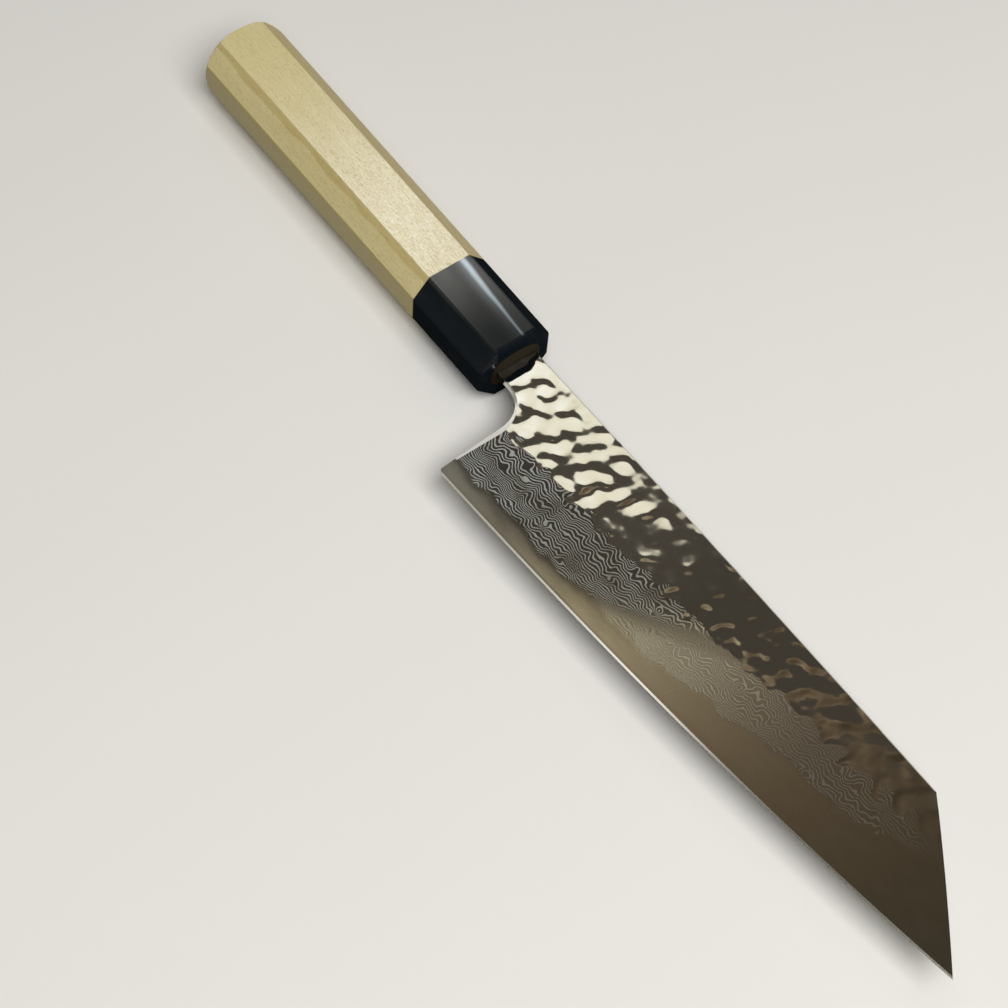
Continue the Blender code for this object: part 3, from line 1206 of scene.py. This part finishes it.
@dataclass(frozen=True)
class HammerMarks:
    """The hammer's shallow relief on the flats, which varies along the blade and is weakest at the tip.

    The lean says how far aside each point reads the relief per height, so that marks get one steep side.
    """

    seed: int
    seed_step: int = 1000
    lean: tuple[float, float] = (6.0, -6.0)
    swells: tuple[Swell, ...] = (
        Swell(40, (4.2 * MM, 9.0 * MM), 0.025),
        Swell(24, (1.8 * MM, 2.8 * MM), 0.005),
    )
    strengths: Curve = (
        (-2 * MM, 0.0),
        (0.0, 0.66),
        (20 * MM, 0.69),
        (40 * MM, 0.82),
        (60 * MM, 0.70),
        (80 * MM, 0.56),
        (115 * MM, 0.52),
        (130 * MM, 0.60),
        (150 * MM, 0.62),
        (165 * MM, 0.30),
    )

    def dent(self, x: np.ndarray, y: np.ndarray) -> np.ndarray:
        """Depth of the hammered surface under the flat at each point.

        Args:
            x: Places along the blade.
            y: Places across it.

        Returns:
            The depths, which are negative where the surface stands out.
        """
        upright = self._relief(x, y)
        relief = self._relief(x + upright * self.lean[0], y + upright * self.lean[1])
        return relief * value_at(x, self.strengths)

    def _relief(self, x: np.ndarray, y: np.ndarray) -> np.ndarray:
        """Sum of the swells at each point, before they lean over and fade."""
        chances = (random.Random(self.seed + self.seed_step * i) for i in range(len(self.swells)))
        return sum(swell.relief(chance, x, y) for swell, chance in zip(self.swells, chances))


@dataclass(frozen=True)
class Rim:
    """Width and drop of the chamfer that the cladding has along its border."""

    ring: float = 0.3 * MM
    spine: tuple[float, float] = (0.38 * MM, 0.26 * MM)
    clip: tuple[float, float] = (0.30 * MM, 0.06 * MM)
    choil_widths: Curve = (
        (-33 * MM, 0.45 * MM),
        (-30 * MM, 0.60 * MM),
        (-20 * MM, 1.30 * MM),
        (-16.5 * MM, 1.55 * MM),
        (-13 * MM, 1.05 * MM),
        (-9 * MM, 0.60 * MM),
        (-6 * MM, 0.40 * MM),
    )
    choil_slope: float = 0.12
    spine_reach: float = 1.0 * MM

    def at(self, point: Vector, form: BladeForm) -> tuple[float, float]:
        """The chamfer at a point of the border.

        Args:
            point: The point.
            form: The blade.

        Returns:
            Its width and its drop. Both are small where the piece meets the core.
        """
        if point.x <= 0:
            return self.ring, 0.0
        if point.y > form.neck_top - self.spine_reach:
            return self.spine
        if point.y < form.band_y(point.x) + BAND_SLACK:
            return self.ring, 0.0
        if point.x > form.clip_corner.x:
            return self.clip
        if point.x < form.heel_x:
            width = float(value_at(point.y, self.choil_widths))
            return width, width * self.choil_slope
        return self.ring, 0.0


@dataclass
class Cladding(Piece):
    """The layered steel on one side of the blade."""

    form: BladeForm
    side: Side
    marks: HammerMarks
    rim: Rim = field(default_factory=Rim)
    cell: float = 0.40 * MM
    cells_start: float = -1.0 * MM
    finish: Finish = field(default_factory=lambda: BladeSteel("clad_steel"))
    below: float = -10 * MM

    @property
    def node(self) -> str:
        """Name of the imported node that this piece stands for."""
        return f"cladding_{self.side.name.lower()}"

    def outline(self) -> list[Vector]:
        """Border of the piece: tang, choil, the band's limit, clip and spine.

        Returns:
            The points, from the tang's lower corner to its upper one.
        """
        low, high = self.form.tang_end()
        choil = self._above_band(self.form.choil())
        clip = self._above_band(self.form.clip()[::-1])[::-1]
        stations = [x for x in self.form.stations() if choil[-1].x < x < clip[0].x]
        band = [Vector((x, self.form.band_y(x))) for x in stations]
        return [low, *choil, *band, *clip, *self.form.spine()[1:], high]

    def _above_band(self, line: Sequence[Vector]) -> list[Vector]:
        """The first stretch of a line, up to where it crosses the band's limit.

        Args:
            line: Points of the line, the first one above the limit.

        Returns:
            The stretch's points.
        """
        for index, (start, end) in enumerate(pairwise(line)):
            over, under = (p.y - self.form.band_y(p.x) for p in (start, end))
            if over > 0 >= under:
                return [*line[: index + 1], start.lerp(end, over / (over - under))]
        return list(line)

    def build(self) -> bpy.types.Object:
        """Build the piece.

        Returns:
            The object, about the handle's axis.
        """
        bm = bmesh.new()
        face = bm.faces.new([bm.verts.new((p.x, p.y, 0.0)) for p in self.outline()])
        face.normal_update()
        self._add_chamfer(bm, face)
        self._add_wall(bm)
        self._cut_cells(bm)
        self._shape(bm)
        if self.side is Side.LEFT:
            bmesh.ops.scale(bm, vec=(1.0, 1.0, -1.0), verts=bm.verts)
            bmesh.ops.reverse_faces(bm, faces=bm.faces)
        bm.normal_update()
        shade(bm)
        return new_object(f"{self.node}_sheet", bm)

    def _add_chamfer(self, bm: bmesh.types.BMesh, face: bmesh.types.BMFace) -> None:
        """Inset the face, and give the ring its width and drop.

        Args:
            bm: The mesh.
            face: Its only face.
        """
        outer = set(face.verts)
        bmesh.ops.inset_individual(bm, faces=[face], thickness=self.rim.ring, use_even_offset=True)
        for vertex in outer:
            others = (edge.other_vert(vertex) for edge in vertex.link_edges)
            inner = next(other for other in others if other not in outer)
            width, drop = self.rim.at(vertex.co, self.form)
            inner.co = vertex.co + (inner.co - vertex.co) * (width / self.rim.ring)
            vertex.co.z = -drop
        for edge in bm.edges:
            if not outer.intersection(edge.verts):
                edge.smooth = False

    def _add_wall(self, bm: bmesh.types.BMesh) -> None:
        """Extrude the sheet into a closed solid, its lower side far below.

        Args:
            bm: The sheet's mesh.
        """
        top = bmesh.ops.extrude_face_region(bm, geom=list(bm.faces))["geom"]
        kept = {item for item in top if isinstance(item, bmesh.types.BMVert)}
        for vertex in bm.verts:
            if vertex not in kept:
                vertex.co.z = self.below
        bmesh.ops.recalc_face_normals(bm, faces=bm.faces)

    def _cut_cells(self, bm: bmesh.types.BMesh) -> None:
        """Cut the upper side into small cells along X and Y.

        Args:
            bm: The solid's mesh.
        """
        upper = [face for face in bm.faces if all(v.co.z > self.below / 2 for v in face.verts)]
        geometry = [*upper, *{e for f in upper for e in f.edges}, *{v for f in upper for v in f.verts}]
        low_y, high_y = (limit(v.co.y for v in bm.verts) for limit in (min, max))
        spans = {Axis.X: (self.cells_start, max(v.co.x for v in bm.verts)), Axis.Y: (low_y, high_y)}
        for axis, (start, end) in spans.items():
            normal = Vector((axis is Axis.X, axis is Axis.Y, 0.0))
            for step in range(1, math.ceil((end - start) / self.cell)):
                plane = normal * (start + step * self.cell)
                geometry = bmesh.ops.bisect_plane(
                    bm, geom=geometry, dist=MERGE_DISTANCE, plane_co=plane, plane_no=normal
                )["geom"]

    def _shape(self, bm: bmesh.types.BMesh) -> None:
        """Raise the upper side to the hammered and ground surface, and note what the finish reads.

        Args:
            bm: The solid's mesh.
        """
        x, y, z = np.array([v.co for v in bm.verts]).T
        form = self.form
        underside = z < self.below / 2
        height = y - form.edge_y(x)
        hammered = form.flat_half(x) - self.marks.dent(x, y)
        ground = np.where(x > 0, form.ground_half(x, height), form.neck_thickness)
        surface = np.minimum(hammered, ground) + z
        final = np.where(underside, form.core_thickness / 2, surface)
        values = {
            "over_edge": height / MM,
            "ground": (hammered - ground) / MM,
            "band": form.band_height(x) / MM,
            "rim": np.where(underside, 0.0, -z / MM),
        }
        layers = {name: bm.verts.layers.float.new(name) for name in values}
        for index, vertex in enumerate(bm.verts):
            vertex.co.z = final[index]
            for name, layer in layers.items():
                vertex[layer] = values[name][index]


@dataclass
class Core(Piece):
    """The core steel, which shows in a band over the edge and at the tip."""

    form: BladeForm
    finish: Finish = field(default_factory=lambda: BladeSteel("core_steel"))
    node: str = "blade_core"
    band_steps: int = 8
    sharp_angle: float = math.radians(7)

    def section(self, x: float) -> list[Vector]:
        """The core's section.

        Args:
            x: Place along X.

        Returns:
            The points, from the edge up the right side and down the left.
        """
        form = self.form
        edge, band = float(form.edge_y(x)), float(form.band_height(x))
        heights = [mix(form.bevel_height, band, share) for share in shares(self.band_steps)]
        face = [(edge + h, float(form.ground_half(x, h))) for h in heights]
        inner = form.core_thickness / 2
        right = [*face, (edge + band, inner), (form.clip_corner_height + form.margin, inner)]
        left = [(y, -z) for y, z in reversed(right)]
        return [Vector((x, y, z)) for y, z in [(edge, 0.0), *right, *left]]

    def build(self) -> bpy.types.Object:
        """Build the piece.

        Returns:
            The object, about the handle's axis.
        """
        blank = skin([self.section(x) for x in self.form.stations()])
        bm = trimmed(blank, prism(self.form.outline(), self.form.margin), Cut.INSIDE)
        layers = [bm.verts.layers.float.new(name) for name in ("over_edge", "band", "ground")]
        for vertex in bm.verts:
            height = float(vertex.co.y - self.form.edge_y(vertex.co.x)) / MM
            band = float(self.form.band_height(vertex.co.x)) / MM
            ground = float(height < band + BAND_SLACK / MM)
            for layer, value in zip(layers, (height, band, ground)):
                vertex[layer] = value
        shade(bm, self.sharp_angle)
        return new_object("core_blade", bm)


# Handle


@dataclass(frozen=True)
class HandleForm:
    """The handle's octagon and the dowel in it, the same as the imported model's but in more steps."""

    length: float = 134.0 * MM
    ferrule_length: float = 30.6 * MM
    front: tuple[float, float, float, float] = (23.4 * MM, 20.0 * MM, 12.9 * MM, 8.4 * MM)
    butt: tuple[float, float, float, float] = (25.4 * MM, 21.8 * MM, 14.3 * MM, 8.6 * MM)
    dowel_length: float = 100.0 * MM
    dowel_height: float = 16.3 * MM
    dowel_thickness: float = 11.8 * MM
    dowel_squareness: float = 2.5
    glue_line: float = 0.1 * MM
    oval_steps: int = 96
    arris_steps: int = 2
    margin: float = 8.0 * MM

    def octagon(self, x: float) -> list[Vector]:
        """The handle's section, with its broad flats above and below.

        Args:
            x: Place along X.

        Returns:
            Its eight corners.
        """
        share = -x / self.length
        halves = (mix(front, butt, share) / 2 for front, butt in zip(self.front, self.butt))
        height, thickness, broad, narrow = halves
        quarter = [(height, narrow), (broad, thickness)]
        half = quarter + [(-y, z) for y, z in reversed(quarter)]
        return [Vector((x, y, z)) for y, z in half + [(-y, -z) for y, z in half]]

    def bore(self, front: float, back: float) -> bmesh.types.BMesh:
        """A solid with the dowel's oval and the glue line round it.

        Args:
            front: Its front end along X.
            back: Its back end.

        Returns:
            A closed mesh that faces out.
        """
        power = 2 / self.dowel_squareness
        oval = []
        for step in range(self.oval_steps):
            turn = math.tau * step / self.oval_steps
            y = self._oval(self.dowel_height, math.cos(turn), power)
            oval.append((y, self._oval(self.dowel_thickness, math.sin(turn), power)))
        return skin([[Vector((x, y, z)) for y, z in oval] for x in (front, back)])

    def _oval(self, size: float, value: float, power: float) -> float:
        """A squarish oval's reach at a cosine or sine, glue line included."""
        return (size / 2 + self.glue_line) * math.copysign(abs(value) ** power, value)


@dataclass
class Ferrule(Piece):
    """The horn ferrule, rounded towards the blade."""

    form: HandleForm
    rounding: float = 1.6 * MM
    rounding_steps: int = 6
    edge_rounding: float = 0.12 * MM
    sharp_angle: float = math.radians(24)
    finish: Finish = field(default_factory=PolishedHorn)
    node: str = "ferrule"

    def build(self) -> bpy.types.Object:
        """Build the piece.

        Returns:
            The object, about the handle's axis.
        """
        form = self.form
        bm = skin([form.octagon(0.0), form.octagon(-form.ferrule_length)])
        front = [edge for edge in bm.edges if all(v.co.x > -MERGE_DISTANCE for v in edge.verts)]
        bevel(bm, front, self.rounding, self.rounding_steps)
        bevel(bm, long_edges(bm), self.edge_rounding, form.arris_steps)
        bm = trimmed(bm, form.bore(form.margin, -form.ferrule_length - form.margin), Cut.OUTSIDE)
        shade(bm, self.sharp_angle)
        return new_object("horn_ferrule", bm)


@dataclass
class Grip(Piece):
    """The wooden grip, with a crowned and rounded butt."""

    form: HandleForm
    butt_rounding: float = 3.5 * MM
    butt_radius: float = 13.4 * MM
    butt_crown: float = 0.6 * MM
    edge_rounding: float = 0.15 * MM
    arc_steps: int = 16
    turn_steps: int = 128
    sharp_angle: float = math.radians(20)
    finish: Finish = field(default_factory=PaleWood)
    node: str = "grip"

    def build(self) -> bpy.types.Object:
        """Build the piece.

        Returns:
            The object, about the handle's axis.
        """
        form = self.form
        front = -form.ferrule_length - form.glue_line
        bm = skin([form.octagon(front), form.octagon(-form.length - form.margin)])
        bevel(bm, long_edges(bm), self.edge_rounding, form.arris_steps)
        bm = trimmed(bm, self._turned_end(), Cut.INSIDE)
        bore = form.bore(form.margin, -form.dowel_length - form.glue_line)
        bm = trimmed(bm, bore, Cut.OUTSIDE)
        shade(bm, self.sharp_angle)
        return new_object("wooden_grip", bm)

    def _turned_end(self) -> bmesh.types.BMesh:
        """A turned body whose crowned end and rounded rim the butt takes over.

        Returns:
            A closed mesh that faces out.
        """
        form = self.form
        crown_radius = self.butt_radius - self.butt_rounding
        shoulder = form.length - self.butt_crown
        steps = shares(self.arc_steps)
        crown = [(crown_radius * s, shoulder + self.butt_crown * (1 - s**2)) for s in steps]
        rim = [
            (
                crown_radius + self.butt_rounding * math.sin(QUARTER_TURN * s),
                shoulder - self.butt_rounding * (1 - math.cos(QUARTER_TURN * s)),
            )
            for s in steps[1:]
        ]
        outside = self.butt_radius + form.margin
        profile = [*crown, *rim, (outside, rim[-1][1]), (outside, 0.0), (0.0, 0.0)]
        bm = bmesh.new()
        points = [bm.verts.new((-depth, radius, 0.0)) for radius, depth in profile]
        edges = [bm.edges.new(pair) for pair in pairwise(points)]
        bmesh.ops.spin(
            bm,
            geom=[*points, *edges],
            axis=(1.0, 0.0, 0.0),
            cent=(0.0, 0.0, 0.0),
            steps=self.turn_steps,
            angle=math.tau,
            use_merge=True,
        )
        bmesh.ops.remove_doubles(bm, verts=bm.verts, dist=MERGE_DISTANCE)
        bmesh.ops.recalc_face_normals(bm, faces=bm.faces)
        return bm


# Studio


@dataclass(frozen=True)
class Camera:
    """The photograph's viewpoint, measured from the handle's axis."""

    azimuth: float = math.radians(48.292)
    elevation: float = math.radians(58.666)
    roll: float = math.radians(5.657)
    distance: float = 587.25 * MM
    target: tuple[float, float, float] = (33.264 * MM, -28.837 * MM, 0.0)
    lens: float = 81.21
    sensor: float = 36.0
    nearest: float = 10 * MM

    def place(self, origin: Vector) -> None:
        """Create the camera and make it the scene's.

        Args:
            origin: Where the handle's axis starts.
        """
        back = Vector(
            (
                math.sin(self.azimuth) * math.cos(self.elevation),
                -math.cos(self.azimuth) * math.cos(self.elevation),
                math.sin(self.elevation),
            )
        )
        level = Vector((math.cos(self.azimuth), math.sin(self.azimuth), 0.0))
        upright = back.cross(level)
        right = math.cos(self.roll) * level + math.sin(self.roll) * upright
        up = math.cos(self.roll) * upright - math.sin(self.roll) * level
        data = bpy.data.cameras.new("camera")
        data.lens = self.lens
        data.sensor_width = self.sensor
        data.clip_start = self.nearest
        camera = bpy.data.objects.new("camera", data)
        spot = origin + Vector(self.target) + back * self.distance
        camera.matrix_world = Matrix.Translation(spot) @ Matrix((right, up, back)).transposed().to_4x4()
        bpy.context.scene.collection.objects.link(camera)
        bpy.context.scene.camera = camera


@dataclass(frozen=True)
class Softbox:
    """A rectangular lamp that faces the knife."""

    name: str
    place: tuple[float, float, float]
    size: tuple[float, float]
    radiance: float
    colour: Colour

    def hang(self) -> None:
        """Create the lamp, pointed at the origin."""
        data = bpy.data.lights.new(self.name, "AREA")
        data.shape = "RECTANGLE"
        data.size, data.size_y = self.size
        data.energy = self.radiance * math.pi * self.size[0] * self.size[1]
        data.color = self.colour
        lamp = bpy.data.objects.new(self.name, data)
        spot = Vector(self.place)
        lamp.location = spot
        lamp.rotation_euler = spot.to_track_quat("Z", "Y").to_euler()
        lamp.visible_camera = False
        bpy.context.scene.collection.objects.link(lamp)


@dataclass(frozen=True)
class Panel:
    """A panel of light over the knife, bounded by its slopes east (X) and north (Y) off the upright.

    A third bound, across, holds for the slope north less lean times the slope east. The stops say which
    light the panel has at a slope east.
    """

    stops: tuple[tuple[float, Colour], ...]
    east: tuple[float, float]
    north: tuple[float, float]
    lean: float
    across: tuple[float, float]
    blur: float = 0.006

    def mask(self, east: Wire, north: Wire) -> Wire:
        """1 on the panel and 0 off it.

        Args:
            east: Slope towards X.
            north: Slope towards Y.

        Returns:
            The soft mask.
        """
        across = north - east * self.lean
        share = 1.0
        for slope, (low, high) in ((east, self.east), (north, self.north), (across, self.across)):
            share = share * slope.ramp(low - self.blur, low + self.blur)
            share = share * slope.ramp(high + self.blur, high - self.blur)
        return share

    def colour(self, shader: Shader, east: Wire) -> Wire:
        """The panel's light along X.

        Args:
            shader: Builds the nodes.
            east: Slope towards X.

        Returns:
            The colour.
        """
        start, end = self.stops[0][0], self.stops[-1][0]
        stops = tuple(((place - start) / (end - start), colour) for place, colour in self.stops)
        place = (east - start) / (end - start)
        return shader.node("ShaderNodeValToRGB", {"stops": stops}, {"Fac": place}, "Color")


@dataclass
class Studio:
    """Floor, lamp and surroundings.

    The heel panel lights the layers by the heel, the satin panel the core steel, the window the hammered
    flat by the handle, and the bevel strip the bevel.
    """

    floor_size: float = 8.0
    floor_finish: Finish = field(default_factory=PaleFloor)
    camera: Camera = field(default_factory=Camera)
    softbox: Softbox = Softbox("key_softbox", (0.70, -0.12, 1.30), (1.2, 1.0), 7.0, (1.0, 0.985, 0.96))
    heel_panel: Panel = Panel(
        stops=(
            (-0.50, (0.41, 0.44, 0.40)),
            (-0.43, (0.30, 0.275, 0.24)),
            (-0.36, (0.26, 0.24, 0.21)),
        ),
        east=(-UNBOUNDED, -0.30),
        north=(0.05, 0.30),
        lean=0.0,
        across=(-UNBOUNDED, UNBOUNDED),
        blur=0.02,
    )
    satin_panel: Panel = Panel(
        stops=(
            (-0.42, (0.34, 0.31, 0.23)),
            (-0.385, (0.46, 0.41, 0.28)),
            (-0.355, (0.84, 0.74, 0.48)),
            (-0.32, (0.52, 0.44, 0.30)),
            (-0.28, (0.28, 0.215, 0.14)),
            (-0.24, (0.165, 0.122, 0.078)),
            (-0.16, (0.084, 0.067, 0.043)),
            (-0.05, (0.060, 0.050, 0.035)),
        ),
        east=(-0.50, 0.10),
        north=(0.20, 0.70),
        lean=1.45,
        across=(-1.0, 0.852),
        blur=0.012,
    )
    window: Panel = Panel(
        stops=(
            (-1.50, (0.05, 0.05, 0.05)),
            (-1.10, (0.20, 0.20, 0.20)),
            (-0.85, (0.80, 0.80, 0.77)),
            (-0.60, (1.50, 1.50, 1.44)),
            (-0.52, (1.28, 1.25, 1.08)),
            (-0.46, (1.17, 1.13, 0.92)),
            (-0.42, (1.00, 0.96, 0.77)),
            (-0.38, (0.58, 0.55, 0.44)),
            (-0.33, (0.36, 0.33, 0.27)),
        ),
        east=(-UNBOUNDED, -0.25),
        north=(-0.4, 1.0),
        lean=0.89,
        across=(0.861, UNBOUNDED),
    )
    bevel_strip: Panel = Panel(
        stops=(
            (-0.90, (0.60, 0.57, 0.50)),
            (-0.41, (0.48, 0.46, 0.40)),
            (-0.36, (0.62, 0.60, 0.52)),
            (-0.315, (0.92, 0.88, 0.78)),
            (-0.280, (1.70, 1.63, 1.47)),
            (-0.258, (1.50, 1.42, 1.28)),
            (-0.225, (0.45, 0.42, 0.37)),
            (-0.200, (0.13, 0.12, 0.105)),
        ),
        east=(-0.90, 0.05),
        north=(-0.32, 0.02),
        lean=0.0,
        across=(-1.0, 1.0),
        blur=0.03,
    )
    horizon: Colour = (0.12, 0.125, 0.13)
    ceiling: Colour = (0.088, 0.077, 0.064)
    backdrop: Colour = (0.72, 0.715, 0.70)
    horizon_rise: Span = (0.10, 0.50)
    least_rise: float = 0.05

    def build(self, origin: Vector) -> None:
        """Set up everything round the knife.

        Args:
            origin: Where the handle's axis starts.
        """
        self._lay_floor(origin)
        self._paint_surroundings()
        self.softbox.hang()
        self.camera.place(origin)
        bpy.context.scene.view_settings.view_transform = "Standard"

    def _lay_floor(self, origin: Vector) -> None:
        """Lay a large flat floor at Z = 0.

        Args:
            origin: Where the handle's axis starts.
        """
        bm = bmesh.new()
        bmesh.ops.create_grid(bm, x_segments=2, y_segments=2, size=self.floor_size / 2)
        floor = new_object("studio_floor", bm)
        floor.data.materials.append(material_of(self.floor_finish, origin))

    def _paint_surroundings(self) -> None:
        """Paint the panels on a dark ceiling. The camera itself sees a plain pale backdrop."""
        world = bpy.data.worlds.new("studio")
        world.use_nodes = True
        bpy.context.scene.world = world
        shader = Shader(world.node_tree)
        x, y, z = shader.node("ShaderNodeTexCoord", output="Generated").split()
        rise = shader.math("MAXIMUM", z, self.least_rise)
        east, north = x / rise, y / rise
        colour = shader.mix(z.ramp(*self.horizon_rise), self.horizon, self.ceiling)
        for panel in (self.heel_panel, self.satin_panel, self.window, self.bevel_strip):
            colour = shader.mix(panel.mask(east, north), colour, panel.colour(shader, east))
        seen = shader.node("ShaderNodeLightPath", output="Is Camera Ray")
        colour = shader.mix(seen, colour, self.backdrop)
        background = world.node_tree.nodes["Background"]
        world.node_tree.links.new(colour.socket, background.inputs["Color"])
        background.inputs["Strength"].default_value = 1.0


def knife_origin() -> Vector:
    """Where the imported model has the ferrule's front face on the handle's axis."""
    low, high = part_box("ferrule")
    return Vector((high.x, (low.y + high.y) / 2, (low.z + high.z) / 2))


def main() -> None:
    """Build the knife's visible pieces, give the dowel and the tang's bedding new finishes, and build the
    studio.
    """
    logging.basicConfig(level=logging.INFO, format="%(name)s: %(message)s")
    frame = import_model()
    origin = knife_origin()
    blade, handle = BladeForm(), HandleForm()
    pieces: tuple[Piece, ...] = (
        Cladding(blade, Side.RIGHT, HammerMarks(seed=349)),
        Cladding(blade, Side.LEFT, HammerMarks(seed=37)),
        Core(blade),
        Ferrule(handle),
        Grip(handle),
    )
    for piece in pieces:
        built = piece.build()
        piece.dress(built, origin)
        LOG.info("%s: %d faces", built.name, len(built.data.polygons))
    for node, finish in {"dowel": ShadedEndGrain(), "tang_bedding": DarkResin()}.items():
        cover(frame["nodes"][node], finish, origin)
        LOG.info("%s: new finish", node)
    Studio().build(origin)


if __name__ == "__main__":
    main()
